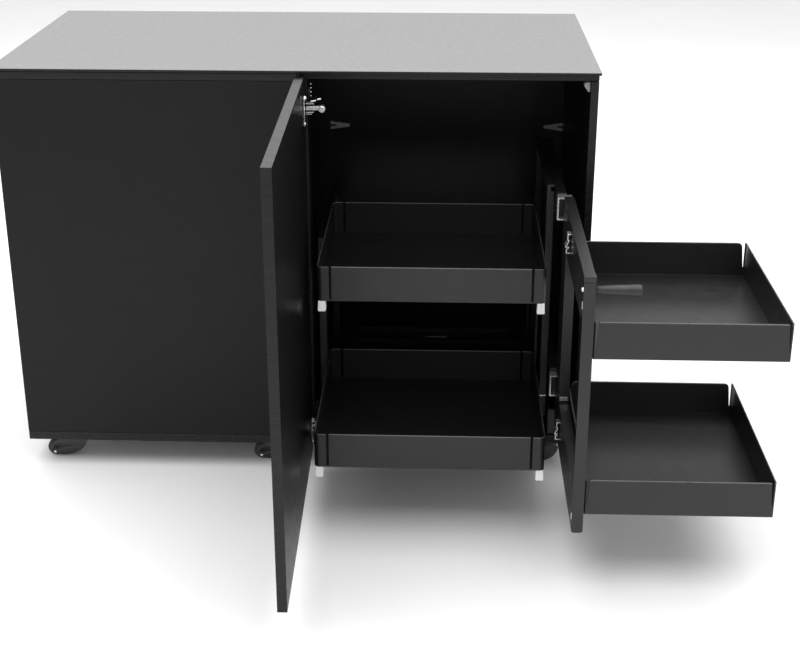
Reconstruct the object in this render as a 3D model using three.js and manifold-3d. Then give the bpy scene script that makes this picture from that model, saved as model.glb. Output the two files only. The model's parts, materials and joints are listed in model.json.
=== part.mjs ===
// A mobile kitchen cabinet with a blind corner: a boxed carcass on casters, a fixed blind front on the left,
// a full-height door on the right, a swing-out frame with two trays, and two rear trays on telescopic runners.
// Millimetres. X runs right, Y runs back from the plane of the fronts, Z runs up from the floor.
import * as THREE from "three";
import { mergeVertices } from "three/addons/utils/BufferGeometryUtils.js";
import Module from "manifold-3d";

const wasm = await Module();
wasm.setup();

// ---------- driving dimensions ----------
const WIDTH = 1200;
const HEIGHT = 885;
const BACK = 598; // rear face of the carcass, behind the plane of the fronts
const HALF = WIDTH / 2;
const BOARD = 16;
const BASE_BOARD = 19;
const FRONT_BOARD = 18;
const WORKTOP = 6;
const OVERHANG = 2;
const BASE_Z = 60; // underside of the carcass, on its casters
const SETBACK = 20; // carcass edges behind the plane of the fronts in the door opening
const GAP = 0.3; // between pieces that touch
const TOP_Z = HEIGHT - WORKTOP;
const INNER_TOP = TOP_Z - BOARD;
const INNER_BASE = BASE_Z + BASE_BOARD;
const INNER_BACK = BACK - BOARD;

const BLIND_EDGE = 8.5; // right edge of the blind front
const DOOR = { left: 11.5, width: 588, bottom: BASE_Z, top: 875, pivotX: 1.2, pivotY: -3.3, open: 89 };
const HINGE_Z = [115, 814];
const CUP = { inset: 27, radius: 17.5, depth: 11.5, flange: 2, plate: 26, length: 56 };
const STILE = { left: 9, right: 25, back: 70 };

const SHEET = 1.5; // tray sheet
const REAR_BEND = { radius: 10, wing: 24, slit: 5 }; // the side walls turn the corner, and a slit parts them from the front
const SWING_BEND = { radius: 3, wing: 3.5, slit: 4.5, foot: 20, frontCorner: 3, backCorner: 10 }; // slits open at the top
const REAR_TRAY = { left: 50, right: 501, depth: 392, height: 73 };
const REAR_LEVELS = { lower: { z: 152, front: -256 }, upper: { z: 452, front: -128 } };
const HOME_FRONT = 100; // front of a rear tray that is pushed right in
const SWING_TRAY = { left: 562, right: 907, front: -422, back: -20, height: 72 };
const SWING_LEVELS = { lower: 159, upper: 473 };

const RUNNER = { inset: 9, height: 27, front: 126, back: 486 };
const CLIP = { width: 16, depth: 22, height: 23 };

const FRAME_TOP = 631;
const SWING_FRAME = { left: 540, right: 560, near: -430, top: FRAME_TOP, bottom: 125, rail: 88, nearPost: 17, farPost: 84 };
const PIVOT = { x: 550, y: 12, radius: 4, knuckle: 9 };
const BRACKET_LEVELS = { lower: 183, upper: 580 };
const BRACKET = { height: 48, thick: 3, left: 527.3 };
const SLIDE = { left: 511, right: 527, front: 77, back: 437, bar: 20 };
const CARRIER = { left: 528, right: 547, front: 24, post: 290, back: 430, bar: 20, margin: 8, shoe: { back: 60, top: 140 } };

const CASTER = { x: [-503, -43, 536], y: [47, 551], trail: 52, wheel: 19, width: 18, head: 59.5 };

// ---------- materials ----------
function material(color, roughness, metalness) {
  return new THREE.MeshStandardMaterial({ color, roughness, metalness });
}
const BLACK_BOARD = material(0x1d1d1e, 0.55, 0);
const TOP_LAMINATE = material(0x2c2c2d, 0.35, 0);
const ANTHRACITE = material(0x2e2f31, 0.45, 0.3);
const STEEL = material(0xb9babc, 0.25, 1);
const DARK_STEEL = material(0x3a3b3d, 0.4, 0.8);
const WHITE_PLASTIC = material(0xe9e9e6, 0.4, 0);
const BLACK_PLASTIC = material(0x131313, 0.5, 0);
const TYRE = material(0x202020, 0.8, 0);
const GREY_PLASTIC = material(0x77787a, 0.5, 0);

// ---------- shapes ----------
function boxBetween(x0, x1, y0, y1, z0, z1) {
  const box = new THREE.BoxGeometry(x1 - x0, y1 - y0, z1 - z0);
  return box.translate((x0 + x1) / 2, (y0 + y1) / 2, (z0 + z1) / 2);
}

function outline(points) {
  return new THREE.Shape(points.map(([a, b]) => new THREE.Vector2(a, b)));
}

function roundedRect(a0, a1, b0, b1, radius) {
  const shape = new THREE.Shape();
  const quarter = Math.PI / 2;
  shape.moveTo(a0 + radius, b0);
  shape.lineTo(a1 - radius, b0);
  shape.absarc(a1 - radius, b0 + radius, radius, -quarter, 0);
  shape.lineTo(a1, b1 - radius);
  shape.absarc(a1 - radius, b1 - radius, radius, 0, quarter);
  shape.lineTo(a0 + radius, b1);
  shape.absarc(a0 + radius, b1 - radius, radius, quarter, 2 * quarter);
  shape.lineTo(a0, b0 + radius);
  shape.absarc(a0 + radius, b0 + radius, radius, 2 * quarter, 3 * quarter);
  return shape;
}

function extrudeZ(shape, z0, z1, curveSegments = 6) {
  const made = new THREE.ExtrudeGeometry(shape, { depth: z1 - z0, bevelEnabled: false, curveSegments });
  return made.translate(0, 0, z0);
}

// The outline's first axis becomes X and its second Z.
function extrudeY(shape, y0, y1, curveSegments = 6) {
  const made = new THREE.ExtrudeGeometry(shape, { depth: y1 - y0, bevelEnabled: false, curveSegments });
  return made.rotateX(Math.PI / 2).translate(0, y1, 0);
}

// The outline's first axis becomes Y and its second Z.
function extrudeX(shape, x0, x1, curveSegments = 6) {
  const made = new THREE.ExtrudeGeometry(shape, { depth: x1 - x0, bevelEnabled: false, curveSegments });
  const turn = new THREE.Matrix4().makeBasis(
    new THREE.Vector3(0, 1, 0),
    new THREE.Vector3(0, 0, 1),
    new THREE.Vector3(1, 0, 0),
  );
  return made.applyMatrix4(turn).translate(x0, 0, 0);
}

function cylinderZ(x, y, z0, z1, radius, segments = 24) {
  const made = new THREE.CylinderGeometry(radius, radius, z1 - z0, segments);
  return made.rotateX(Math.PI / 2).translate(x, y, (z0 + z1) / 2);
}

function cylinderY(x, z, y0, y1, radius, segments = 24) {
  return new THREE.CylinderGeometry(radius, radius, y1 - y0, segments).translate(x, (y0 + y1) / 2, z);
}

function cylinderX(y, z, x0, x1, radius, segments = 24) {
  const made = new THREE.CylinderGeometry(radius, radius, x1 - x0, segments);
  return made.rotateZ(Math.PI / 2).translate((x0 + x1) / 2, y, z);
}

// ---------- booleans ----------
function solidOf(geometry) {
  const bare = geometry.clone();
  bare.deleteAttribute("normal");
  bare.deleteAttribute("uv");
  const merged = mergeVertices(bare, 1e-3);
  return new wasm.Manifold(
    new wasm.Mesh({
      numProp: 3,
      vertProperties: new Float32Array(merged.attributes.position.array),
      triVerts: new Uint32Array(merged.index.array),
    }),
  );
}

function geometryOf(solid) {
  const mesh = solid.getMesh();
  const geometry = new THREE.BufferGeometry();
  geometry.setAttribute("position", new THREE.BufferAttribute(mesh.vertProperties, 3));
  geometry.setIndex(new THREE.BufferAttribute(mesh.triVerts, 1));
  geometry.computeVertexNormals();
  return geometry;
}

function join(...shapes) {
  return geometryOf(shapes.map(solidOf).reduce((whole, next) => whole.add(next)));
}

function cut(shape, ...tools) {
  return geometryOf(tools.map(solidOf).reduce((whole, next) => whole.subtract(next), solidOf(shape)));
}

// ---------- scene graph ----------
const cabinet = new THREE.Group();

function piece(name, geometry, look, parent = cabinet) {
  const mesh = new THREE.Mesh(geometry, look);
  mesh.name = name;
  parent.add(mesh);
  return mesh;
}

// ---------- carcass ----------
// A horizontal board that reaches the plane of the fronts beside the door opening and is set back within it.
function steppedBoard(z0, z1) {
  const shape = outline([
    [-HALF, 0],
    [BLIND_EDGE, 0],
    [BLIND_EDGE, SETBACK],
    [HALF, SETBACK],
    [HALF, BACK],
    [-HALF, BACK],
  ]);
  return extrudeZ(shape, z0, z1);
}

function makeCarcass() {
  const sideZ = [INNER_BASE + GAP, INNER_TOP - GAP];
  const worktop = roundedRect(-HALF - OVERHANG, HALF + OVERHANG, -OVERHANG, BACK, 2);
  piece("worktop", extrudeZ(worktop, TOP_Z + GAP, HEIGHT), TOP_LAMINATE);
  piece("carcass_top", steppedBoard(INNER_TOP, TOP_Z), BLACK_BOARD);
  piece("carcass_base", steppedBoard(BASE_Z, INNER_BASE), BLACK_BOARD);
  const behindBlind = FRONT_BOARD + GAP;
  piece("left_side", boxBetween(-HALF, -HALF + BOARD, behindBlind, BACK, ...sideZ), BLACK_BOARD);
  piece("right_side", boxBetween(HALF - BOARD, HALF, SETBACK, BACK, ...sideZ), BLACK_BOARD);
  const backHalf = HALF - BOARD - GAP;
  piece("back_panel", boxBetween(-backHalf, backHalf, INNER_BACK, BACK, ...sideZ), BLACK_BOARD);
  piece("blind_front", boxBetween(-HALF, BLIND_EDGE, 0, FRONT_BOARD, ...sideZ), BLACK_BOARD);
  const stile = boxBetween(STILE.left, STILE.right, behindBlind + 2, STILE.back, ...sideZ);
  piece("hinge_stile", stile, BLACK_BOARD);
}

// A wedge with a forked end, flat against the back panel. direction is the way that the fork opens.
function makeWallFork(name, tipX, direction) {
  const z = 615;
  const length = 46;
  const end = tipX + direction * length;
  const shape = outline([
    [tipX, z - 3],
    [end, z - 10],
    [end, z - 3],
    [end - direction * 14, z - 2],
    [end - direction * 14, z + 2],
    [end, z + 3],
    [end, z + 10],
    [tipX, z + 3],
  ]);
  piece(name, extrudeY(shape, INNER_BACK - 8, INNER_BACK - GAP), GREY_PLASTIC);
}

function makeDoorCatch() {
  const x = HALF - BOARD - GAP;
  const shape = outline([
    [x, 840],
    [x, 861],
    [x - 12, 858],
    [x - 12, 852],
    [x - 4, 840],
  ]);
  piece("door_catch", extrudeY(shape, 26, 44), GREY_PLASTIC);
}

// ---------- door and its hinges ----------
// The door's group turns about the hinges' working axis; its children are placed as if the door were closed.
function makeDoor() {
  const turn = new THREE.Group();
  turn.position.set(DOOR.pivotX, DOOR.pivotY, 0);
  turn.rotation.z = THREE.MathUtils.degToRad(-DOOR.open);
  cabinet.add(turn);
  const closed = new THREE.Group();
  closed.position.set(-DOOR.pivotX, -DOOR.pivotY, 0);
  turn.add(closed);

  const cupX = DOOR.left + CUP.inset;
  const panel = boxBetween(DOOR.left, DOOR.left + DOOR.width, 0, FRONT_BOARD, DOOR.bottom, DOOR.top);
  const bore = CUP.radius + GAP;
  const bottom = FRONT_BOARD - CUP.depth - GAP;
  const pockets = HINGE_Z.map((z) => cylinderY(cupX, z, bottom, FRONT_BOARD + 1, bore));
  piece("door", cut(panel, ...pockets), BLACK_BOARD, closed);

  ["lower_hinge_cup", "upper_hinge_cup"].forEach((name, i) => {
    const z = HINGE_Z[i];
    const face = FRONT_BOARD + GAP;
    const flange = roundedRect(cupX - 6, cupX + 12, z - CUP.length / 2, z + CUP.length / 2, 5);
    const cup = cylinderY(cupX, z, FRONT_BOARD - CUP.depth, face + CUP.flange, CUP.radius);
    const recess = cylinderY(cupX, z, FRONT_BOARD - CUP.depth + 2, face + CUP.flange + 1, CUP.radius - 2);
    const body = cut(join(extrudeY(flange, face, face + CUP.flange), cup), recess);
    piece(name, body, STEEL, closed);
  });
}

// The arm that stands on the stile and reaches forward to the door's cup.
function makeHingeArm(name, z, reach) {
  const face = STILE.right + GAP;
  const plate = boxBetween(face, face + 4, 24, 66, z - CUP.plate, z + CUP.plate);
  const arm = boxBetween(face + 3, face + 19, -6, 72, z - 8, z + 8);
  const link = boxBetween(face + 8, face + reach, -30, -4, z - 7, z + 7);
  piece(name, join(plate, arm, link), STEEL);
}

// ---------- trays ----------
// One folded tray: a floor and four walls with rounded corners, less what the tools take.
function trayGeometry([x0, x1, y0, y1, z0, z1], radius, tools) {
  const shell = extrudeZ(roundedRect(x0, x1, y0, y1, radius), z0, z1);
  const inside = roundedRect(x0 + SHEET, x1 - SHEET, y0 + SHEET, y1 - SHEET, radius - SHEET);
  return cut(shell, extrudeZ(inside, z0 + SHEET, z1 + 1), ...tools);
}

// A rear tray has a straight slit near each end of its front and back walls.
function rearTrayGeometry(box) {
  const [x0, x1, y0, y1, z0, z1] = box;
  const { radius, wing, slit } = REAR_BEND;
  const tools = [x0 + wing, x1 - wing - slit].flatMap((x) =>
    [y0, y1].map((y) => boxBetween(x, x + slit, y - 2 * SHEET, y + 2 * SHEET, z0 + 3, z1 + 1)));
  return trayGeometry(box, radius, tools);
}

// A swing tray's front and back walls stop short of the side walls: each has rounded top corners, and the slit
// beside it narrows downwards.
function swingTrayGeometry(box) {
  const [x0, x1, y0, y1, z0, z1] = box;
  const { radius, wing, slit, foot, frontCorner, backCorner } = SWING_BEND;
  const tools = [];
  for (const [y, corner] of [[y0, frontCorner], [y1, backCorner]]) {
    const inner = wing + slit;
    const round = [0, 1, 2, 3, 4, 5].map((step) => {
      const turn = Math.PI / 2 * (1 + step / 5);
      return [inner + corner + corner * Math.cos(turn), z1 - corner + corner * Math.sin(turn)];
    });
    const shape = [[wing, z0 + foot], [wing, z1 + 1], [inner + corner, z1 + 1], ...round, [wing + 0.8, z0 + foot]];
    for (const place of [(x) => x0 + x, (x) => x1 - x]) {
      tools.push(extrudeY(outline(shape.map(([x, z]) => [place(x), z])), y - 2 * SHEET, y + 2 * SHEET));
    }
  }
  return trayGeometry(box, radius, tools);
}

// Across a runner, from its centre and its foot: the fixed channel, the middle bar, and the tray's own channel.
const FIXED_CHANNEL = [[-9, 0], [9, 0], [9, 12], [7.6, 12], [7.6, 1.5], [-7.6, 1.5], [-7.6, 12], [-9, 12]];
const MIDDLE_BAR = [
  [-6.6, 2], [6.6, 2], [6.6, 10], [5.2, 10], [5.2, 3.5], [1.2, 3.5], [1.2, 21], [5, 21], [5, 22.5],
  [-5, 22.5], [-5, 21], [-1.2, 21], [-1.2, 3.5], [-5.2, 3.5], [-5.2, 10], [-6.6, 10],
];
const TRAY_CHANNEL = [[-9, 27.6], [-9, 14], [-7.6, 14], [-7.6, 25.5], [7.6, 25.5], [7.6, 14], [9, 14], [9, 27.6]];

function section(points, x, z) {
  return outline(points.map(([a, b]) => [a + x, b + z]));
}

function makeRearLevel(level, { z, front }) {
  const { left, right, depth, height } = REAR_TRAY;
  const centres = { left: left + RUNNER.inset, right: right - RUNNER.inset };
  const foot = z - RUNNER.height;
  const travel = HOME_FRONT - front;
  const tray = rearTrayGeometry([left, right, front, front + depth, z, z + height]);
  const channels = Object.values(centres).map((x) =>
    extrudeY(section(TRAY_CHANNEL, x, foot), front + CLIP.depth + 3, front + depth - 3));
  piece(`${level}_rear_tray`, join(tray, ...channels), ANTHRACITE);

  for (const [side, x] of Object.entries(centres)) {
    const fixed = extrudeY(section(FIXED_CHANNEL, x, foot), RUNNER.front, RUNNER.back);
    piece(`${level}_${side}_runner`, fixed, DARK_STEEL);
    const shift = travel / 2;
    const bar = extrudeY(section(MIDDLE_BAR, x, foot), RUNNER.front + 1 - shift, RUNNER.back - 1 - shift);
    piece(`${level}_${side}_middle_bar`, bar, DARK_STEEL);
    makeClip(`${level}_${side}_clip`, x, front, z);
  }
}

// A white catch under a tray's front corner, narrowing upwards, with rounded lower corners.
function makeClip(name, x, front, trayZ) {
  const half = CLIP.width / 2;
  const top = trayZ - GAP;
  const low = top - CLIP.height;
  const shape = new THREE.Shape();
  shape.moveTo(x - half + 3, low);
  shape.lineTo(x + half - 3, low);
  shape.quadraticCurveTo(x + half, low, x + half, low + 3);
  shape.lineTo(x + half - 1, top);
  shape.lineTo(x - half + 1, top);
  shape.lineTo(x - half, low + 3);
  shape.quadraticCurveTo(x - half, low, x - half + 3, low);
  piece(name, extrudeY(shape, front + 1, front + 1 + CLIP.depth, 3), WHITE_PLASTIC);
}

// ---------- rear unit's frames ----------
function windowed(outer, windows, x0, x1) {
  const [y0, y1, z0, z1] = outer;
  const holes = windows.map(([a, b, c, d]) => boxBetween(x0 - 1, x1 + 1, a, b, c, d));
  return cut(boxBetween(x0, x1, y0, y1, z0, z1), ...holes);
}

const REAR_FRAME = { left: 33.5, front: 80, back: 433, bottom: 97, post: 16, top: 506, plate: 6 };

function makeRearFrames() {
  const { left, front, back, bottom, post, top, plate } = REAR_FRAME;
  const right = REAR_TRAY.right + 0.5;
  const innerY = [front + post, back - post];
  const shelf = REAR_LEVELS.upper.z - RUNNER.height;
  const leftWindows = [
    [...innerY, bottom + 27, shelf - 2],
    [...innerY, shelf + 14, top - post],
  ];
  const leftFrame = windowed([front, back, bottom, top], leftWindows, left, left + post);
  piece("rear_left_frame", leftFrame, ANTHRACITE);
  const rightTop = shelf + 14;
  const rightWindow = [[150, back - 20, bottom + 27, shelf - 2]];
  const rightFrame = windowed([130, back, bottom, rightTop], rightWindow, right, right + plate);
  piece("rear_right_frame", rightFrame, ANTHRACITE);
  const beamZ = [bottom, bottom + 27];
  const across = [left + post + GAP, right - GAP];
  piece("rear_beam_front", boxBetween(...across, 136, 152, ...beamZ), ANTHRACITE);
  piece("rear_beam_back", boxBetween(...across, 401, 417, ...beamZ), ANTHRACITE);
}

// Fixed tracks on the carcass base that the rear unit shifts along, and a ribbed rack with its damper.
function makeFloorTracks() {
  const foot = INNER_BASE + GAP;
  const top = REAR_FRAME.bottom - 0.5;
  const trackX = [-560, 500];
  for (const [name, y] of [["floor_track_front", 136], ["floor_track_back", 401]]) {
    const channel = outline([
      [y - 4, foot], [y + 20, foot], [y + 20, top], [y + 17, top], [y + 17, foot + 3],
      [y - 1, foot + 3], [y - 1, top], [y - 4, top],
    ]);
    piece(name, extrudeX(channel, ...trackX), DARK_STEEL);
  }
  const rackX = [88, 469];
  const pitch = 7;
  const bar = boxBetween(...rackX, 505, 517, foot, foot + 30);
  const grooves = [];
  for (let x = rackX[0] + pitch; x < rackX[1] - pitch; x += pitch) {
    grooves.push(boxBetween(x, x + pitch / 2, 504, 509, foot + 25, foot + 31));
  }
  const damper = cylinderX(497, foot + 12, 255, 310, 6, 16);
  const strap = boxBetween(270, 295, 492, 506, foot + 2, foot + 10);
  piece("damper_rack", join(cut(bar, ...grooves), damper, strap), DARK_STEEL);
}

// ---------- front unit ----------
// The fixed frame, grooved along its top and bottom rails for the carrier's tongues.
function makeSlideFrame() {
  const { left, right, front, back, bar } = SLIDE;
  const foot = INNER_BASE + GAP;
  const window = [front + bar, back - bar, foot + bar, FRAME_TOP - bar];
  const frame = windowed([front, back, foot, FRAME_TOP], [window], left, right);
  const grooves = [foot, FRAME_TOP - bar].map((z) =>
    boxBetween(right - 7, right + 1, front - 1, back + 1, z + 5, z + 15));
  piece("slide_frame", cut(frame, ...grooves), ANTHRACITE);
}

// Two arms reach forward from the carrier's post, one behind each pivot bracket, above a shoe on its bottom bar.
function makeCarrier() {
  const { left, right, front, post, back, bar, margin, shoe } = CARRIER;
  const foot = INNER_BASE + GAP + 1;
  const { lower, upper } = BRACKET_LEVELS;
  const windows = [
    [shoe.back, post, foot + bar, lower - margin],
    [front - 1, shoe.back + 1, shoe.top, lower - margin],
    [front - 1, post, lower + BRACKET.height + margin, upper - margin],
    [post + bar, back + 1, foot + bar, FRAME_TOP - bar],
  ];
  const frame = windowed([front, back, foot, FRAME_TOP], windows, left, right);
  const tongues = [foot - 1, FRAME_TOP - bar].map((z) =>
    boxBetween(SLIDE.right - 6, left + 1, SLIDE.front + 20, back - 30, z + 6, z + 14));
  piece("carrier_frame", join(frame, ...tongues), ANTHRACITE);
}

// A C of steel with a pin between its ears, bolted to the carrier's upright.
function makePivotBracket(name, z) {
  const { height, thick, left } = BRACKET;
  const top = z + height;
  const right = PIVOT.x + 7;
  const web = boxBetween(left, left + thick, PIVOT.y - 9, CARRIER.front - GAP, z, top);
  const ears = [z, top - thick].map((low) =>
    boxBetween(left, right, PIVOT.y - 9, CARRIER.front - GAP, low, low + thick));
  const pin = cylinderZ(PIVOT.x, PIVOT.y, z, top, PIVOT.radius);
  piece(name, join(web, ...ears, pin), STEEL);
}

function makeSwingFrame() {
  const { left, right, near, top, bottom, rail, nearPost, farPost } = SWING_FRAME;
  const window = [near + nearPost, -farPost, bottom + rail, top - rail];
  const sheet = windowed([near, 0, bottom, top], [window], left, right);
  const strip = roundedRect(left - 0.5, right + 0.5, bottom - 1, top + 0.5, 5);
  const cap = extrudeY(strip, near - 0.5, near + 12);
  const seam = cut(
    boxBetween(left - 1, right + 1, near - 1, near + 13, top - 10.5, top - 9.5),
    boxBetween(left, right, near + 0.2, near + 14, top - 12, top - 8),
  );
  const knuckles = Object.values(BRACKET_LEVELS).map((z) => {
    const span = [z + BRACKET.thick + 1, z + BRACKET.height - BRACKET.thick - 1];
    const lug = boxBetween(PIVOT.x - 6, PIVOT.x + 6, -2, PIVOT.y, ...span);
    return join(lug, cylinderZ(PIVOT.x, PIVOT.y, ...span, PIVOT.knuckle));
  });
  const bores = Object.values(BRACKET_LEVELS).map((z) =>
    cylinderZ(PIVOT.x, PIVOT.y, z, z + BRACKET.height, PIVOT.radius + 0.5));
  piece("swing_frame", cut(join(sheet, cap, ...knuckles), seam, ...bores), ANTHRACITE);
}

// A turned grip, slim at its root and rounded at its end, standing out from the near post.
function makeHandle() {
  const profile = new THREE.Path();
  profile.moveTo(0, 0);
  profile.lineTo(8.5, 0);
  profile.lineTo(10.5, 72);
  profile.quadraticCurveTo(10.5, 80, 4, 80);
  profile.lineTo(0, 80);
  const turned = new THREE.LatheGeometry(profile.getPoints(5), 24);
  turned.rotateZ(-Math.PI / 2).translate(SWING_FRAME.right + 0.8, -418, 603);
  piece("swing_handle", turned, BLACK_PLASTIC);
}

// A tray hook: one strip bent in a zigzag, with both of its ends on the frame's left face.
function makeHook(name, y, z) {
  const face = SWING_FRAME.left - GAP;
  const outer = [
    [0, 20], [-7, 20], [-7, 9], [-5, 6.5], [-10.5, -5], [-10.5, -7.5], [-5, -8], [-9, -11], [-9, -20], [0, -20],
  ];
  const inner = [
    [0, -17.6], [-6.6, -17.6], [-6.6, -12], [-2.5, -8], [-2.5, -5.6], [-7.5, -5], [-2, 6.5], [-4.6, 10], [-4.6, 17.6],
    [0, 17.6],
  ];
  const shape = outline([...outer, ...inner].map(([a, b]) => [face + a, z + b]));
  piece(name, extrudeY(shape, y - 8, y + 8), STEEL);
}

function makeSwingUnit() {
  makeSwingFrame();
  makeHandle();
  const { left, right, front, back, height } = SWING_TRAY;
  for (const [level, z] of Object.entries(SWING_LEVELS)) {
    piece(`${level}_swing_tray`, swingTrayGeometry([left, right, front, back, z, z + height]), ANTHRACITE);
  }
  makeHook("lower_tray_hook", -120, 170);
  makeHook("upper_tray_hook", -168, 596);
}

// ---------- casters ----------
function casterFork(x, y) {
  const { trail, wheel, width, head } = CASTER;
  const axle = { x: x - trail, z: wheel };
  const leg = outline([
    [axle.x - 11, axle.z],
    [axle.x - 7, axle.z - 9],
    [axle.x + 1, axle.z - 12],
    [x - 6, axle.z + 1],
    [x + 12, head - 26],
    [x + 15, head - 12],
    [x - 22, head - 12],
    [axle.x - 6, axle.z + 11],
  ]);
  const inner = width / 2 + 1.2;
  const legs = [-inner - 2.5, inner].map((offset) => extrudeY(leg, y + offset, y + offset + 2.5));
  const bridge = boxBetween(x - 21, x + 14, y - inner - 2, y + inner + 2, head - 18, head - 12);
  const swivel = cylinderZ(x, y, head - 13, head, 19);
  const bore = cylinderY(axle.x, axle.z, y - 30, y + 30, 3.6, 16);
  return cut(join(...legs, bridge, swivel), bore);
}

// The wheel and the axle that it turns with, as one turned profile about the axle.
function casterWheel(x, y) {
  const { trail, wheel, width } = CASTER;
  const half = width / 2;
  const end = half + 5;
  const profile = [
    [0, -end], [3, -end], [3, -half], [wheel - 2, -half], [wheel, -half + 2.5],
    [wheel, half - 2.5], [wheel - 2, half], [3, half], [3, end], [0, end],
  ];
  const turned = new THREE.LatheGeometry(profile.map(([r, h]) => new THREE.Vector2(r, h)), 28);
  return turned.translate(x - trail, y, wheel);
}

function makeCasters() {
  const rows = { front: CASTER.y[0], back: CASTER.y[1] };
  const columns = { left: CASTER.x[0], middle: CASTER.x[1], right: CASTER.x[2] };
  for (const [row, y] of Object.entries(rows)) {
    for (const [column, x] of Object.entries(columns)) {
      piece(`${row}_${column}_caster_fork`, casterFork(x, y), BLACK_PLASTIC);
      piece(`${row}_${column}_caster_wheel`, casterWheel(x, y), TYRE);
    }
  }
}

// ---------- the whole ----------
makeCarcass();
makeWallFork("wall_fork_left", 68, -1);
makeWallFork("wall_fork_right", 537, 1);
makeDoorCatch();
makeDoor();
makeHingeArm("lower_hinge_arm", HINGE_Z[0], 21);
makeHingeArm("upper_hinge_arm", HINGE_Z[1], 39);
makeSlideFrame();
makeCarrier();
makePivotBracket("lower_pivot_bracket", BRACKET_LEVELS.lower);
makePivotBracket("upper_pivot_bracket", BRACKET_LEVELS.upper);
makeSwingUnit();
makeRearFrames();
makeFloorTracks();
for (const [level, place] of Object.entries(REAR_LEVELS)) makeRearLevel(level, place);
makeCasters();

// The origin is the centre of the whole's footprint at floor level.
const whole = new THREE.Group();
whole.add(cabinet);
const bounds = new THREE.Box3().setFromObject(cabinet, true);
const centre = bounds.getCenter(new THREE.Vector3());
cabinet.position.set(-centre.x, -centre.y, -bounds.min.z);

export default whole;
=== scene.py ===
import json
import math

import bmesh
import bpy
from mathutils import Matrix, Vector


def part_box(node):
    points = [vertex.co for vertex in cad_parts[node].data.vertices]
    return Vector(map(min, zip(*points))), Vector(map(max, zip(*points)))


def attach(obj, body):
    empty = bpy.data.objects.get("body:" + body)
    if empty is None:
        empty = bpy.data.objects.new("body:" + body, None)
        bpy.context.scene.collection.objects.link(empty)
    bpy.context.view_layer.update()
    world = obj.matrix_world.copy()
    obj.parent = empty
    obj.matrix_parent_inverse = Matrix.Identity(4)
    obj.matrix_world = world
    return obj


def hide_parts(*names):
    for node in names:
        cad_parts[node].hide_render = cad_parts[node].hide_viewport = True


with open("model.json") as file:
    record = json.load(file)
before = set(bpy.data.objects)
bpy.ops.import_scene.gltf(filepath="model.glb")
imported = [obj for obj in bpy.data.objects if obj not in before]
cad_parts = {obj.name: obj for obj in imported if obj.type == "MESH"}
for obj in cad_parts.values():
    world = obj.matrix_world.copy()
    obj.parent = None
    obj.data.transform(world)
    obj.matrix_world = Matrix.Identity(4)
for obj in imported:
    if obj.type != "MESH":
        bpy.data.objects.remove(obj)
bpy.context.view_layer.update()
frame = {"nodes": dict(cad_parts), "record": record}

# ---------------------------------------------------------------- places and sizes
MM = 0.001
top_low, top_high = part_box("carcass_top")
blind_low, blind_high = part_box("blind_front")
CABINET = Vector(((top_low.x + top_high.x) / 2, blind_low.y, 0))  # centre of the fronts' plane, on the floor

CAMERA_PLACE = Vector((297, -2560, 1491))  # mm from CABINET
CAMERA_PITCH = 20.84  # degrees below the horizon
CAMERA_YAW = 1.95  # degrees to the left
CAMERA_LENS = 60.3
CAMERA_SHIFT = (0.0, -0.10)
SENSOR_WIDTH = 36  # mm


def at(x, y, z):
    """A place given in millimetres from the centre of the fronts' plane, as a point of the row frame."""
    return CABINET + Vector((x, y, z)) * MM


def middle(node):
    low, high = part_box(node)
    return (low + high) / 2


def mm_box(node):
    """A node's lowest and highest corners, in millimetres from CABINET."""
    return [(corner - CABINET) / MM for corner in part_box(node)]


# ---------------------------------------------------------------- camera, floor and light
def make_camera():
    data = bpy.data.cameras.new("camera")
    data.lens = CAMERA_LENS
    data.sensor_width = SENSOR_WIDTH
    data.shift_x, data.shift_y = CAMERA_SHIFT
    camera = bpy.data.objects.new("camera", data)
    camera.location = CABINET + CAMERA_PLACE * MM
    camera.rotation_euler = (math.radians(90 - CAMERA_PITCH), 0, math.radians(CAMERA_YAW))
    bpy.context.scene.collection.objects.link(camera)
    bpy.context.scene.camera = camera


LIGHT_PLACE = (100, 100, 3200)  # mm from CABINET
LIGHT_TARGET = (100, 200, 500)
LIGHT_SIZE = (7.0, 5.0)  # m
LIGHT_POWER = 240  # W


def make_light():
    """One large soft box overhead, which the camera does not see."""
    data = bpy.data.lights.new("overhead", "AREA")
    data.shape = "RECTANGLE"
    data.size, data.size_y = LIGHT_SIZE
    data.energy = LIGHT_POWER
    light = bpy.data.objects.new("overhead", data)
    light.location = at(*LIGHT_PLACE)
    light.rotation_euler = (at(*LIGHT_TARGET) - at(*LIGHT_PLACE)).to_track_quat("-Z", "Y").to_euler()
    light.visible_camera = False
    bpy.context.scene.collection.objects.link(light)


# sine of the elevation and brightness
SKY = [
    (0.0, 0.55), (0.10, 0.46), (0.22, 0.22), (0.32, 1.05),
    (0.42, 0.90), (0.48, 0.26), (0.68, 0.22), (0.82, 0.45),
]
SKY_STRENGTH = 2.0


def make_world():
    """A plain sky, graded by height only."""
    world = bpy.data.worlds.new("studio")
    world.use_nodes = True
    nodes, links = world.node_tree.nodes, world.node_tree.links
    split = nodes.new("ShaderNodeSeparateXYZ")
    links.new(nodes.new("ShaderNodeTexCoord").outputs["Generated"], split.inputs["Vector"])
    ramp = nodes.new("ShaderNodeValToRGB")
    links.new(split.outputs["Z"], ramp.inputs["Fac"])
    stops = ramp.color_ramp.elements
    while len(stops) < len(SKY):
        stops.new(0.5)
    for stop, (height, value) in zip(stops, SKY):
        stop.position = height
        stop.color = (value, value, value, 1)
    links.new(ramp.outputs["Color"], nodes["Background"].inputs["Color"])
    nodes["Background"].inputs["Strength"].default_value = SKY_STRENGTH
    bpy.context.scene.world = world
    bpy.context.scene.view_settings.view_transform = "Standard"


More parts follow.
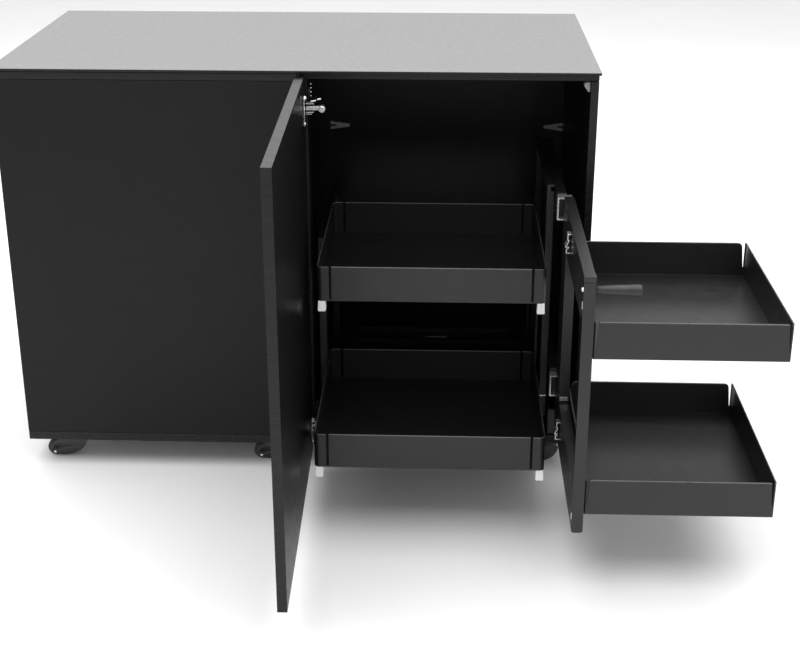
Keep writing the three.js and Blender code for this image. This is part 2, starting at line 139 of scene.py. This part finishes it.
# ---------------------------------------------------------------- node materials
class Look:
    """A Principled material whose colour, roughness and bump come from noise in the row frame's metres."""

    def __init__(self, name, metallic=0.0, coat=0.0, specular=0.5):
        self.material = bpy.data.materials.new(name)
        self.material.use_nodes = True
        self.tree = self.material.node_tree
        self.shader = self.tree.nodes["Principled BSDF"]
        self.shader.inputs["Metallic"].default_value = metallic
        self.shader.inputs["Coat Weight"].default_value = coat
        self.shader.inputs["Specular IOR Level"].default_value = specular
        self.place = self.tree.nodes.new("ShaderNodeTexCoord").outputs["Object"]
        self.height = None

    def link(self, output, socket):
        self.tree.links.new(output, socket)

    def stretched(self, scale):
        mapping = self.tree.nodes.new("ShaderNodeMapping")
        mapping.inputs["Scale"].default_value = scale
        self.link(self.place, mapping.inputs["Vector"])
        return mapping.outputs["Vector"]

    def noise(self, scale, detail=3.0, stretch=(1, 1, 1), distortion=0.0):
        node = self.tree.nodes.new("ShaderNodeTexNoise")
        node.inputs["Scale"].default_value = scale
        node.inputs["Detail"].default_value = detail
        node.inputs["Distortion"].default_value = distortion
        self.link(self.stretched(stretch), node.inputs["Vector"])
        return node.outputs["Fac"]

    def spots(self, scale):
        node = self.tree.nodes.new("ShaderNodeTexVoronoi")
        node.inputs["Scale"].default_value = scale
        self.link(self.place, node.inputs["Vector"])
        return node.outputs["Distance"]

    def ramp(self, factor, stops):
        """A colour from a factor. A stop is a place and a grey value or a colour."""
        node = self.tree.nodes.new("ShaderNodeValToRGB")
        elements = node.color_ramp.elements
        while len(elements) < len(stops):
            elements.new(0.5)
        for element, (place, value) in zip(elements, stops):
            element.position = place
            element.color = (*value, 1) if isinstance(value, tuple) else (value, value, value, 1)
        self.link(factor, node.inputs["Fac"])
        return node.outputs["Color"]

    def mix(self, factor, a, b):
        node = self.tree.nodes.new("ShaderNodeMix")
        node.data_type = "RGBA"
        node.inputs["Factor"].default_value = factor
        self.link(a, node.inputs["A"])
        self.link(b, node.inputs["B"])
        return node.outputs["Result"]

    def colour(self, output):
        self.link(output, self.shader.inputs["Base Color"])
        return self

    def roughness(self, factor, low, high):
        self.link(self.ramp(factor, [(0.3, low), (0.7, high)]), self.shader.inputs["Roughness"])
        return self

    def bump(self, factor, distance, strength=1.0):
        node = self.tree.nodes.new("ShaderNodeBump")
        node.inputs["Distance"].default_value = distance
        node.inputs["Strength"].default_value = strength
        self.link(factor, node.inputs["Height"])
        if self.height is not None:
            self.link(self.height, node.inputs["Normal"])
        self.height = node.outputs["Normal"]
        self.link(self.height, self.shader.inputs["Normal"])
        return self


def board_look():
    look = Look("black_board", specular=0.22)
    cloud = look.noise(9, 4)
    grain = look.noise(900, 2)
    look.colour(look.mix(0.35, look.ramp(cloud, [(0.3, 0.0025), (0.7, 0.0040)]),
                         look.ramp(grain, [(0.35, 0.001), (0.7, 0.007)])))
    look.roughness(look.noise(60, 5), 0.33, 0.42)
    return look.bump(grain, 0.00012, 0.35).bump(look.noise(260, 3), 0.0002, 0.12)


def board_edge_look():
    look = Look("board_edge", specular=0.25)
    streak = look.noise(240, 3, (0.15, 0.15, 1))
    look.colour(look.ramp(streak, [(0.3, 0.006), (0.7, 0.011)]))
    look.roughness(look.noise(90, 3), 0.22, 0.30)
    return look.bump(streak, 0.0001, 0.2)


def worktop_look():
    look = Look("worktop_laminate", specular=1.0, coat=1.0)
    look.shader.inputs["Coat Roughness"].default_value = 0.22
    mottle = look.noise(95, 6, distortion=0.4)
    speck = look.noise(700, 2)
    look.colour(look.mix(0.4, look.ramp(mottle, [(0.32, 0.020), (0.52, 0.034), (0.7, 0.058)]),
                         look.ramp(speck, [(0.35, 0.012), (0.68, 0.085)])))
    look.roughness(mottle, 0.30, 0.44)
    return look.bump(speck, 0.00012, 0.35).bump(mottle, 0.0003, 0.12)


def powder_look():
    look = Look("powder_coat", specular=0.46)
    peel = look.spots(1100)
    cloud = look.noise(14, 3)
    look.colour(look.mix(0.3, look.ramp(cloud, [(0.3, 0.0065), (0.7, 0.0085)]),
                         look.ramp(look.noise(1500, 1), [(0.4, 0.003), (0.7, 0.015)])))
    look.roughness(look.noise(45, 4), 0.36, 0.44)
    return look.bump(peel, 0.00008, 0.45)


# Painted highlight: the hems' colour is about ten times lighter than the trays' powder coat, which paints the
# bright line along their rims.
def hem_painted_highlight_look():
    look = Look("powder_coat_edge_painted_highlight", specular=0.8)
    look.colour(look.ramp(look.noise(60, 3), [(0.3, 0.065), (0.7, 0.095)]))
    look.roughness(look.noise(45, 4), 0.26, 0.34)
    return look.bump(look.spots(1100), 0.00006, 0.4)


def bright_look():
    look = Look("nickel_steel", metallic=0.85)
    cloud = look.noise(180, 4)
    look.colour(look.ramp(cloud, [(0.3, 0.58), (0.7, 0.80)]))
    look.roughness(look.noise(400, 4), 0.14, 0.26)
    return look.bump(look.noise(900, 2), 0.00005, 0.2)


def dark_steel_look():
    look = Look("dark_steel", metallic=0.9)
    streak = look.noise(500, 3, (1, 0.04, 1))
    look.colour(look.ramp(streak, [(0.3, 0.055), (0.7, 0.12)]))
    look.roughness(look.noise(120, 3), 0.30, 0.42)
    return look.bump(streak, 0.00006, 0.3)


def white_plastic_look():
    look = Look("white_plastic")
    look.shader.inputs["Subsurface Weight"].default_value = 0.35
    look.shader.inputs["Subsurface Scale"].default_value = 0.004
    look.colour(look.ramp(look.noise(160, 3), [(0.3, (0.78, 0.78, 0.76)), (0.7, (0.88, 0.88, 0.86))]))
    look.roughness(look.noise(300, 2), 0.34, 0.46)
    return look.bump(look.noise(1400, 2), 0.00005, 0.3)


def black_plastic_look():
    look = Look("black_plastic")
    look.colour(look.ramp(look.noise(40, 3), [(0.3, 0.010), (0.7, 0.018)]))
    look.roughness(look.noise(200, 3), 0.36, 0.50)
    return look.bump(look.spots(1600), 0.00007, 0.5)


def grip_look():
    look = Look("grip_plastic")
    look.colour(look.ramp(look.noise(60, 3), [(0.3, 0.008), (0.7, 0.014)]))
    look.roughness(look.noise(150, 3), 0.38, 0.48)
    return look.bump(look.noise(1300, 2), 0.00006, 0.4)


def tyre_look():
    look = Look("tyre")
    look.colour(look.ramp(look.noise(150, 4), [(0.3, 0.012), (0.7, 0.026)]))
    look.roughness(look.noise(300, 4), 0.62, 0.80)
    return look.bump(look.noise(900, 3), 0.00012, 0.5)


def grey_plastic_look():
    look = Look("grey_plastic")
    look.colour(look.ramp(look.noise(90, 3), [(0.3, 0.26), (0.7, 0.34)]))
    look.roughness(look.noise(250, 2), 0.42, 0.55)
    return look.bump(look.noise(1200, 2), 0.00006, 0.4)


def floor_look():
    look = Look("pale_floor")
    look.colour(look.ramp(look.noise(2.5, 3), [(0.3, 0.84), (0.7, 0.86)]))
    look.roughness(look.noise(6, 3), 0.7, 0.8)
    return look


LOOKS = {
    "black_board": board_look(),
    "board_edge": board_edge_look(),
    "worktop_laminate": worktop_look(),
    "anthracite_powder_coat": powder_look(),
    "painted_highlight_hem": hem_painted_highlight_look(),
    "nickel_steel": bright_look(),
    "dark_steel": dark_steel_look(),
    "white_plastic": white_plastic_look(),
    "black_plastic": black_plastic_look(),
    "grip": grip_look(),
    "tyre": tyre_look(),
    "grey_plastic": grey_plastic_look(),
    "floor": floor_look(),
}

NODE_SLOT = {s["node"]: s["material_slot"] for s in frame["record"]["subparts"]}
NODE_BODY = {n: body for body, nodes in frame["record"]["behaviour"]["bodies"].items() for n in nodes}


# ---------------------------------------------------------------- mesh helpers
WELD = 2e-6  # m, between points of a CAD mesh that are one corner
SEAM = 1e-6  # m, where a turned surface meets itself
FLAT = 1  # degrees, between facets of one flat face
TURNED_SHARP, TUBE_SHARP = 35, 50  # degrees, where turned pieces and tubes keep an edge
TUBE_SIDES = 10


def linked(name, mesh):
    made = bpy.data.objects.new(name, mesh)
    bpy.context.scene.collection.objects.link(made)
    return made


def from_bmesh(name, bm):
    bmesh.ops.recalc_face_normals(bm, faces=bm.faces)
    mesh = bpy.data.meshes.new(name)
    bm.to_mesh(mesh)
    bm.free()
    return linked(name, mesh)


def applied(made):
    """The object's mesh with its modifiers in it."""
    bpy.context.view_layer.update()
    graph = bpy.context.evaluated_depsgraph_get()
    mesh = bpy.data.meshes.new_from_object(
        made.evaluated_get(graph), preserve_all_data_layers=True, depsgraph=graph)
    made.modifiers.clear()
    made.data = mesh
    return made


def rounded(made, width, segments=3, angle=30):
    """Every sharp edge gets a small radius, and the flat faces stay flat in the light."""
    for polygon in made.data.polygons:
        polygon.use_smooth = True
    bevel = made.modifiers.new("edges", "BEVEL")
    bevel.width = width * MM
    bevel.segments = segments
    bevel.limit_method = "ANGLE"
    bevel.angle_limit = math.radians(angle)
    bevel.use_clamp_overlap = True
    weighted = made.modifiers.new("flat_faces", "WEIGHTED_NORMAL")
    weighted.mode = "FACE_AREA"
    weighted.weight = 100
    return applied(made)


def finished(made, slot, body, *nodes, look=None):
    """A piece with its look, which is the slot's own unless look is given, its body and what it replaces."""
    made.data.materials.clear()
    made.data.materials.append(LOOKS[look or slot].material)
    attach(made, body)
    if nodes:
        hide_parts(*nodes)
    return made


def clean_copy(node, name):
    """The CAD node's shape as whole flat faces, ready for its edges to be rounded."""
    bm = bmesh.new()
    bm.from_mesh(frame["nodes"][node].data)
    bmesh.ops.remove_doubles(bm, verts=bm.verts, dist=WELD)
    bmesh.ops.dissolve_limit(bm, angle_limit=math.radians(FLAT), verts=bm.verts, edges=bm.edges)
    return from_bmesh(name, bm)


def refine(node, width, segments=2, angle=30, look=None):
    """The CAD node with rounded edges, in its place."""
    made = rounded(clean_copy(node, node + "_fine"), width, segments, angle)
    return finished(made, NODE_SLOT[node], NODE_BODY[node], node, look=look)


def bar(name, x, y, z, width=0.4):
    """A box with rounded edges, from its three spans in mm from CABINET."""
    low, high = (at(*corner) for corner in zip(x, y, z))
    bm = bmesh.new()
    bmesh.ops.create_cube(bm, size=1)
    stretch = Matrix.Translation((high + low) / 2) @ Matrix.Diagonal((*(high - low), 1))
    bmesh.ops.transform(bm, matrix=stretch, verts=bm.verts)
    return rounded(from_bmesh(name, bm), width, 2)


def turned(name, profile, place, direction, steps=48):
    """A profile of (radius, height) in mm, turned about direction at place."""
    bm = bmesh.new()
    points = [bm.verts.new((r * MM, 0, h * MM)) for r, h in profile]
    edges = [bm.edges.new(pair) for pair in zip(points, points[1:])]
    bmesh.ops.spin(bm, geom=points + edges, axis=(0, 0, 1), cent=(0, 0, 0), angle=2 * math.pi, steps=steps)
    bmesh.ops.remove_doubles(bm, verts=bm.verts, dist=SEAM)
    turn = Vector((0, 0, 1)).rotation_difference(Vector(direction)).to_matrix().to_4x4()
    bmesh.ops.transform(bm, matrix=Matrix.Translation(place) @ turn, verts=bm.verts)
    made = from_bmesh(name, bm)
    made.data.shade_smooth()
    made.data.set_sharp_from_angle(angle=math.radians(TURNED_SHARP))
    return made


def joined(name, pieces):
    """Several pieces as one object."""
    bm = bmesh.new()
    for one in pieces:
        bm.from_mesh(one.data)
        bpy.data.objects.remove(one)
    mesh = bpy.data.meshes.new(name)
    bm.to_mesh(mesh)
    bm.free()
    return linked(name, mesh)


def screw(name, place, direction, radius=4.0, height=1.6):
    """A domed screw head with a round socket."""
    sunk = height * 0.45
    profile = [
        (0, -0.6), (radius, -0.6), (radius, 0.3), (radius * 0.9, height * 0.65),
        (radius * 0.62, height), (radius * 0.42, height), (radius * 0.38, sunk), (0, sunk),
    ]
    return turned(name, profile, place, direction, 24)


# ---------------------------------------------------------------- boards
def edge_band(made, is_edge):
    """Edge band on the polygons whose normal is_edge says so."""
    made.data.materials.append(LOOKS["board_edge"].material)
    for polygon in made.data.polygons:
        if is_edge(polygon.normal):
            polygon.material_index = 1


def board(node, face_axis, width=1.1):
    """A board with rounded edges. Faces that look along face_axis are laminate, the rest are edge band."""
    made = rounded(clean_copy(node, node + "_board"), width)
    finished(made, NODE_SLOT[node], NODE_BODY[node], node)
    edge_band(made, lambda normal: abs(normal.dot(Vector(face_axis))) < 0.5)


def make_boards():
    board("carcass_top", (0, 0, 1), 1.9)
    board("carcass_base", (0, 0, 1))
    for node in ("left_side", "right_side", "hinge_stile"):
        board(node, (1, 0, 0))
    for node in ("back_panel", "blind_front"):
        board(node, (0, 1, 0))
    board("door", (1, 0, 0))
    worktop = rounded(clean_copy("worktop", "worktop_slab"), 0.9)
    finished(worktop, "worktop_laminate", "cabinet", "worktop")
    edge_band(worktop, lambda normal: normal.z < 0.5)


# ---------------------------------------------------------------- the rest, node by node
FINE = {  # node and the radius of its edges in mm
    "slide_frame": 1.2,
    "carrier_frame": 1.2,
    "rear_left_frame": 1.2,
    "rear_right_frame": 0.8,
    "rear_beam_front": 1.0,
    "rear_beam_back": 1.0,
    "swing_frame": 1.2,
    "lower_pivot_bracket": 0.6,
    "upper_pivot_bracket": 0.6,
    "lower_tray_hook": 0.5,
    "upper_tray_hook": 0.5,
    "wall_fork_left": 0.7,
    "wall_fork_right": 0.7,
    "door_catch": 1.5,
    "floor_track_front": 0.4,
    "floor_track_back": 0.4,
    "damper_rack": 0.3,
}


def make_frames():
    for node, width in FINE.items():
        refine(node, width)
    for level in ("lower", "upper"):
        for side in ("left", "right"):
            refine(f"{level}_{side}_runner", 0.3)
            refine(f"{level}_{side}_middle_bar", 0.3)
            refine(f"{level}_{side}_clip", 1.2, 3)


WALL = 1.5  # the trays' sheet
BEAD = 1.3  # radius of the hem along their top edges
REAR_INSET = 0.3  # the rear trays' side hems stand in by this much, clear of the upright frames
REAR_BEND, REAR_WING, REAR_SLIT = 10, 24, 5
SWING_BEND, SWING_WING, SWING_SLIT = 3, 3.5, 4.5
SWING_CORNERS = (3, 10)  # radii of the front and back walls' top corners


def arc(centre, radius, start, end, steps=6):
    """Points on an arc, from start to end in degrees."""
    turns = [math.radians(start + (end - start) * i / steps) for i in range(steps + 1)]
    return [(centre[0] + radius * math.cos(t), centre[1] + radius * math.sin(t)) for t in turns]


def nearest_turn(one, two):
    """How many sides ring two is turned so that its points lie nearest those of ring one."""
    def apart(turn):
        return sum((one[k].co - two[(k + turn) % TUBE_SIDES].co).length for k in range(TUBE_SIDES))
    return min(range(TUBE_SIDES), key=apart)


def tube(name, points, radius):
    """A round bar along points, closed at its ends. Points and radius are in metres."""
    bm = bmesh.new()
    rings = []
    for i, point in enumerate(points):
        ahead = points[min(i + 1, len(points) - 1)]
        behind = points[max(i - 1, 0)]
        turn = Vector((0, 0, 1)).rotation_difference(ahead - behind)
        ring = []
        for k in range(TUBE_SIDES):
            angle = 2 * math.pi * k / TUBE_SIDES
            offset = Vector((math.cos(angle), math.sin(angle), 0)) * radius
            ring.append(bm.verts.new(point + turn @ offset))
        rings.append(ring)
    for one, two in zip(rings, rings[1:]):
        shift = nearest_turn(one, two)
        for k in range(TUBE_SIDES):
            j = (k + 1) % TUBE_SIDES
            bm.faces.new((one[k], one[j], two[(j + shift) % TUBE_SIDES], two[(k + shift) % TUBE_SIDES]))
    bm.faces.new(rings[0])
    bm.faces.new(rings[-1])
    made = from_bmesh(name, bm)
    made.data.shade_smooth()
    made.data.set_sharp_from_angle(angle=math.radians(TUBE_SHARP))
    return made


def hems(node, paths):
    """Rounded hems along a tray's top edges. A path is of (x, y, depth below the top), in mm from CABINET."""
    top = (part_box(node)[1] - CABINET).z / MM
    beads = [tube(f"{node}_bead_{i}", [at(x, y, top - depth) for x, y, depth in path], BEAD * MM)
             for i, path in enumerate(paths)]
    # The hems take the lighter look, a painted highlight along the trays' rims.
    finished(joined(node + "_hem", beads), NODE_SLOT[node], NODE_BODY[node], look="painted_highlight_hem")


def tray_span(node):
    """Its x and y from lowest to highest, in mm from CABINET."""
    low, high = mm_box(node)
    return low.x, high.x, low.y, high.y


def side_hems(span, bend, wing, inset=0.0):
    """Paths along the side walls, round both corners and up to the slits."""
    x0, x1, y0, y1 = span
    half = WALL / 2 + inset
    left = [(x0 + wing, y0 + half), *arc((x0 + bend, y0 + bend), bend - half, 270, 180),
            *arc((x0 + bend, y1 - bend), bend - half, 180, 90), (x0 + wing, y1 - half)]
    return [[(x, y, BEAD) for x, y in left], [(x0 + x1 - x, y, BEAD) for x, y in left]]


def rear_hems(level):
    """Straight hems on the front and back walls, between their slits."""
    x0, x1, y0, y1 = span = tray_span(f"{level}_rear_tray")
    inner = REAR_WING + REAR_SLIT
    walls = [[(x0 + inner, y, BEAD), (x1 - inner, y, BEAD)] for y in (y0 + WALL / 2, y1 - WALL / 2)]
    hems(f"{level}_rear_tray", side_hems(span, REAR_BEND, REAR_WING, REAR_INSET) + walls)


def swing_hems(level):
    """Hems that turn down round the top corners of the front and back walls."""
    x0, x1, y0, y1 = span = tray_span(f"{level}_swing_tray")
    inner = SWING_WING + SWING_SLIT
    walls = []
    for y, corner in zip((y0 + WALL / 2, y1 - WALL / 2), SWING_CORNERS):
        turns = [math.pi * (1 - step / 12) for step in range(7)]
        inset = corner - BEAD
        left = [(inner + corner + inset * math.cos(t), corner - inset * math.sin(t)) for t in turns]
        walls.append([(x0 + x, y, depth) for x, depth in left]
                     + [(x1 - x, y, depth) for x, depth in reversed(left)])
    hems(f"{level}_swing_tray", side_hems(span, SWING_BEND, SWING_WING) + walls)


def make_trays():
    for level in ("lower", "upper"):
        for kind in ("rear", "swing"):
            refine(f"{level}_{kind}_tray", 0.4, 2, 40)
        rear_hems(level)
        swing_hems(level)


HINGE_REACH = {"lower": 21, "upper": 39}  # how far each hinge's links come out of the stile
LINK_Y = (-21.5, -10)


def hinge_arm(level):
    """A mounting plate and arm on the stile, and the stacked links that come forward to the cup."""
    node = f"{level}_hinge_arm"
    low, high = mm_box(node)
    z = (low.z + high.z) / 2
    face = low.x
    reach = HINGE_REACH[level]
    end = face + reach
    name = node + "_"
    near = face + 0.7
    short = near + reach * 0.4
    plates = [
        bar(name + "plate", (face, face + 2), (26, 66), (z - 11, z + 11), 0.8),
        bar(name + "wing", (face, face + 2), (40, 56), (z - 26, z + 26), 0.8),
        bar(name + "arm", (face + 3, face + 14), (2, 70), (z - 7, z + 7), 1.2),
    ]
    plates.append(turned(name + "adjuster", [(0, 0), (4, 0), (4.4, 0.6), (4.4, 3), (0, 3)],
                         at(face + 13, 50, z), (1, 0, 0)))
    for side in (-20, 20):
        plates.append(screw(f"{name}screw_{side + 20}", at(face + 2, 48, z + side), (1, 0, 0), 3.6))
    finished(joined(node + "_plates", plates), "dark_steel", "cabinet", node)

    links = [
        bar(name + "link", (near, end - 5), LINK_Y, (z - 3.4, z + 4.4), 1.2),
        bar(name + "link_high", (near, short), LINK_Y, (z + 9.4, z + 10.8), 0.3),
        bar(name + "link_low", (near, short), LINK_Y, (z - 8, z - 6.6), 0.3),
        bar(name + "link_lower", (near, short - 4), LINK_Y, (z - 11.6, z - 10.4), 0.3),
    ]
    eye = [(0, 1.5), (2.2, 1.5), (2.2, 0), (5.8, 0), (6.6, 0.8), (6.6, 13), (5.8, 14), (0, 14)]
    links.append(turned(name + "eye", eye, at(end - 6.6, -27, z), (0, 1, 0)))
    if level == "upper":  # only this one is open far enough to show its springs and teeth
        for i, (start, stop, rise) in enumerate(((11, 21, 15), (24, 31, 19))):
            leaf = [at(face + start + (stop - start) * t, -22, z + rise + 1.5 * t) for t in (0, 0.5, 1)]
            links.append(tube(f"{name}leaf_{i}", leaf, 1.6 * MM))
        for i in range(4):
            rise = z + 22 + 8 * i
            links.append(bar(f"{name}tooth_{i}", (face + 9.5, face + 11.5), (-10, -6), (rise, rise + 2), 0.4))
    finished(joined(node + "_links", links), "nickel_steel", "cabinet")


def hinge_cup(level):
    """The dark cup in the door, the bright flange across it, and the two screws that hold it."""
    node = f"{level}_hinge_cup"
    refine(node, 0.5, 2, 40, look="dark_steel")
    low, high = mm_box(node)
    y = (low.y + high.y) / 2
    face = high.x + 0.2
    parts = [bar(node + "_strip", (face - 0.9, face), (y - 6, y + 6), (low.z - 2, high.z + 3), 0.4)]
    for i, (z, radius, height) in enumerate(((low.z + 3, 2.8, 1.8), (high.z - 2, 4.6, 3.4))):
        parts.append(screw(f"{node}_screw_{i}", at(face, y, z), (1, 0, 0), radius, height))
    finished(joined(node + "_flange", parts), "nickel_steel", NODE_BODY[node])


def make_hinges():
    for level in ("lower", "upper"):
        hinge_cup(level)
        hinge_arm(level)


FRAME_FACE = 540 - 0.1  # x of the swing frame's left face, less a hair


def make_fittings():
    """Small parts that have no node of their own."""
    head = screw("swing_frame_screw", at(FRAME_FACE, -422, 605), (-1, 0, 0), 4.4, 3.4)
    pieces = [bar(f"frame_slot_{i}", (FRAME_FACE - 1.4, FRAME_FACE + 0.4), (-424.5, -420), (z, z + 14), 0.4)
              for i, z in enumerate((148, 569))]
    pieces.append(bar("frame_clip", (541, 559), (-85.2, -83.8), (217, 226), 0.4))
    finished(joined("swing_frame_fittings", [head] + pieces), "nickel_steel", "swing_unit")
    low, high = mm_box("swing_frame")
    plug = bar("swing_post_plug", (low.x - 0.6, high.x + 0.6), (low.y - 0.6, low.y + 14),
               (high.z - 9.6, high.z + 0.8), 1.2)
    finished(plug, "anthracite_powder_coat", "swing_unit", look="grip")
    finished(bar("slide_frame_pin", (512, 527), (75.6, 77.4), (145.5, 148.5), 0.5), "nickel_steel", "cabinet")


def softened(points, rounds=2):
    """A closed outline with its corners cut, again and again, until it reads as a curve."""
    for _ in range(rounds):
        pairs = zip(points, points[1:] + points[:1])
        points = [tuple(p * share + q * (1 - share) for p, q in zip(one, two))
                  for one, two in pairs for share in (0.75, 0.25)]
    return points


def slab(name, outline, y, width):
    """An outline of (x, z), run along y between its two values, with rounded edges. In mm from CABINET."""
    bm = bmesh.new()
    face = bm.faces.new([bm.verts.new(at(x, y[0], z)) for x, z in outline])
    made = bmesh.ops.extrude_face_region(bm, geom=[face])
    corners = [v for v in made["geom"] if isinstance(v, bmesh.types.BMVert)]
    bmesh.ops.translate(bm, verts=corners, vec=(0, (y[1] - y[0]) * MM, 0))
    return rounded(from_bmesh(name, bm), width, 2, 40)


# a caster's cheek and the closed back of its hood, from above the axle, in mm
CURVE = [(28, 4.5), (44, 9.5), (59, 18), (67, 29), (70.5, 38), (70.5, 47.2)]  # what the two outlines share
CHEEK = [(-13, 14), (-8, 6.5), (1, 4), (13, 3), *CURVE, (20, 47.2), (2, 38), (-9, 31), (-14, 22)]
BACK = [(22, 4), *CURVE, (22, 47.2)]
CHEEK_Y = (10.2, 12.7)  # a cheek's inner and outer face, from the middle of the wheel
SWIVEL = 19  # radius of the swivel's head
PIN_HEIGHT = 10.5
TYRE = 9.0  # half the tyre's width


def caster_hood(stem):
    """Two cheeks and a closed back with the axle's bore, the swivel's head and the pins' bright ends."""
    node = stem + "_fork"
    axle = (middle(stem + "_wheel") - CABINET) / MM
    low, high = mm_box(node)
    cheek, back = ([(axle.x + x, z) for x, z in softened(shape)] for shape in (CHEEK, BACK))
    inner, outer = CHEEK_Y
    cheeks = ((-outer, -inner), (inner, outer))
    parts = [slab(f"{node}_cheek_{i}", cheek, (axle.y + a, axle.y + b), 0.8)
             for i, (a, b) in enumerate(cheeks)]
    parts.append(slab(node + "_back", back, (axle.y - outer, axle.y + outer), 1.2))
    hood = joined(node + "_hood", parts)
    bore = turned(node + "_bore", [(0, -30), (3.6, -30), (3.6, 30), (0, 30)], at(*axle), (0, 1, 0))
    cut = hood.modifiers.new("bore", "BOOLEAN")
    cut.object = bore
    applied(hood)
    bpy.data.objects.remove(bore)
    head = [
        (0, 46.4), (SWIVEL - 1, 46.4), (SWIVEL, 47.4),
        (SWIVEL, high.z - 1), (SWIVEL - 1, high.z), (0, high.z),
    ]
    swivel = turned(node + "_swivel", head, at(high.x - SWIVEL, axle.y, 0), (0, 0, 1))
    finished(joined(node + "_made", [hood, swivel]), "black_plastic", NODE_BODY[node], node)
    dome = [(0, 0), (3.1, 0), (3.1, 0.6), (2.4, 1.4), (1.2, 1.8), (0, 1.9)]
    pins = [turned(f"{node}_pin_{side + 1}", dome, at(axle.x - 2, axle.y + side * outer, PIN_HEIGHT),
                   (0, side, 0), 20) for side in (-1, 1)]
    finished(joined(stem + "_pins", pins), "nickel_steel", NODE_BODY[node])


GRIP_RADIUS = 10.3  # at the handle's free end
GRIP_END, GRIP_LIP = 6, 2.2  # its rounded end, along the handle and inwards


def make_handle():
    """A round handle that thickens towards its free end, which is rounded and slightly dished."""
    node = "swing_handle"
    low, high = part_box(node)
    length = (high.x - low.x) / MM
    profile = [(0, 0), (6.6, 0), (7.2, 1.2), (9.0, length * 0.55), (GRIP_RADIUS, length - GRIP_END)]
    for step in range(1, 7):
        turn = step / 6 * math.pi / 2
        profile.append((GRIP_RADIUS - GRIP_LIP * (1 - math.cos(turn)),
                        length - GRIP_END + GRIP_END * math.sin(turn)))
    profile += [(6.2, length), (5.6, length - 1.4), (0, length - 1.4)]
    place = Vector((low.x, (low.y + high.y) / 2, (low.z + high.z) / 2))
    grip = turned("swing_grip", profile, place, (1, 0, 0))
    finished(grip, "black_plastic", "swing_unit", node, look="grip")


def caster_wheel(wheel):
    """A wheel with its axle and a stepped hub, the same on both sides."""
    low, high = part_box(wheel)
    radius = (high.x - low.x) / 2 / MM
    axle = (high.y - low.y) / 2 / MM
    profile = [
        (0, -axle), (2.2, -axle), (3, -axle + 0.8), (3, -TYRE + 1.5), (6, -TYRE + 1.5), (6.6, -TYRE + 0.6),
        (10.5, -TYRE + 0.6), (11.2, -TYRE + 1.8), (13.5, -TYRE + 1.8), (14.2, -TYRE), (radius - 2.6, -TYRE),
        (radius - 1.0, -TYRE + 0.7), (radius, -TYRE + 2.8),
    ]
    whole = profile + [(r, -h) for r, h in reversed(profile)]
    finished(turned(wheel + "_turned", whole, middle(wheel), (0, 1, 0)), "tyre", wheel, wheel)


def make_casters():
    for row in ("front", "back"):
        for column in ("left", "middle", "right"):
            stem = f"{row}_{column}_caster"
            caster_hood(stem)
            caster_wheel(stem + "_wheel")


FLOOR_HALF = 14  # m
FLOOR_DROP = 0.0005  # m, under the wheels


def make_floor():
    bm = bmesh.new()
    bmesh.ops.create_grid(bm, x_segments=1, y_segments=1, size=FLOOR_HALF)
    floor = from_bmesh("floor", bm)
    floor.location = (0, 0, -FLOOR_DROP)
    floor.data.materials.append(LOOKS["floor"].material)


make_camera()
make_world()
make_light()
make_floor()
make_boards()
make_frames()
make_trays()
make_hinges()
make_handle()
make_casters()
make_fittings()
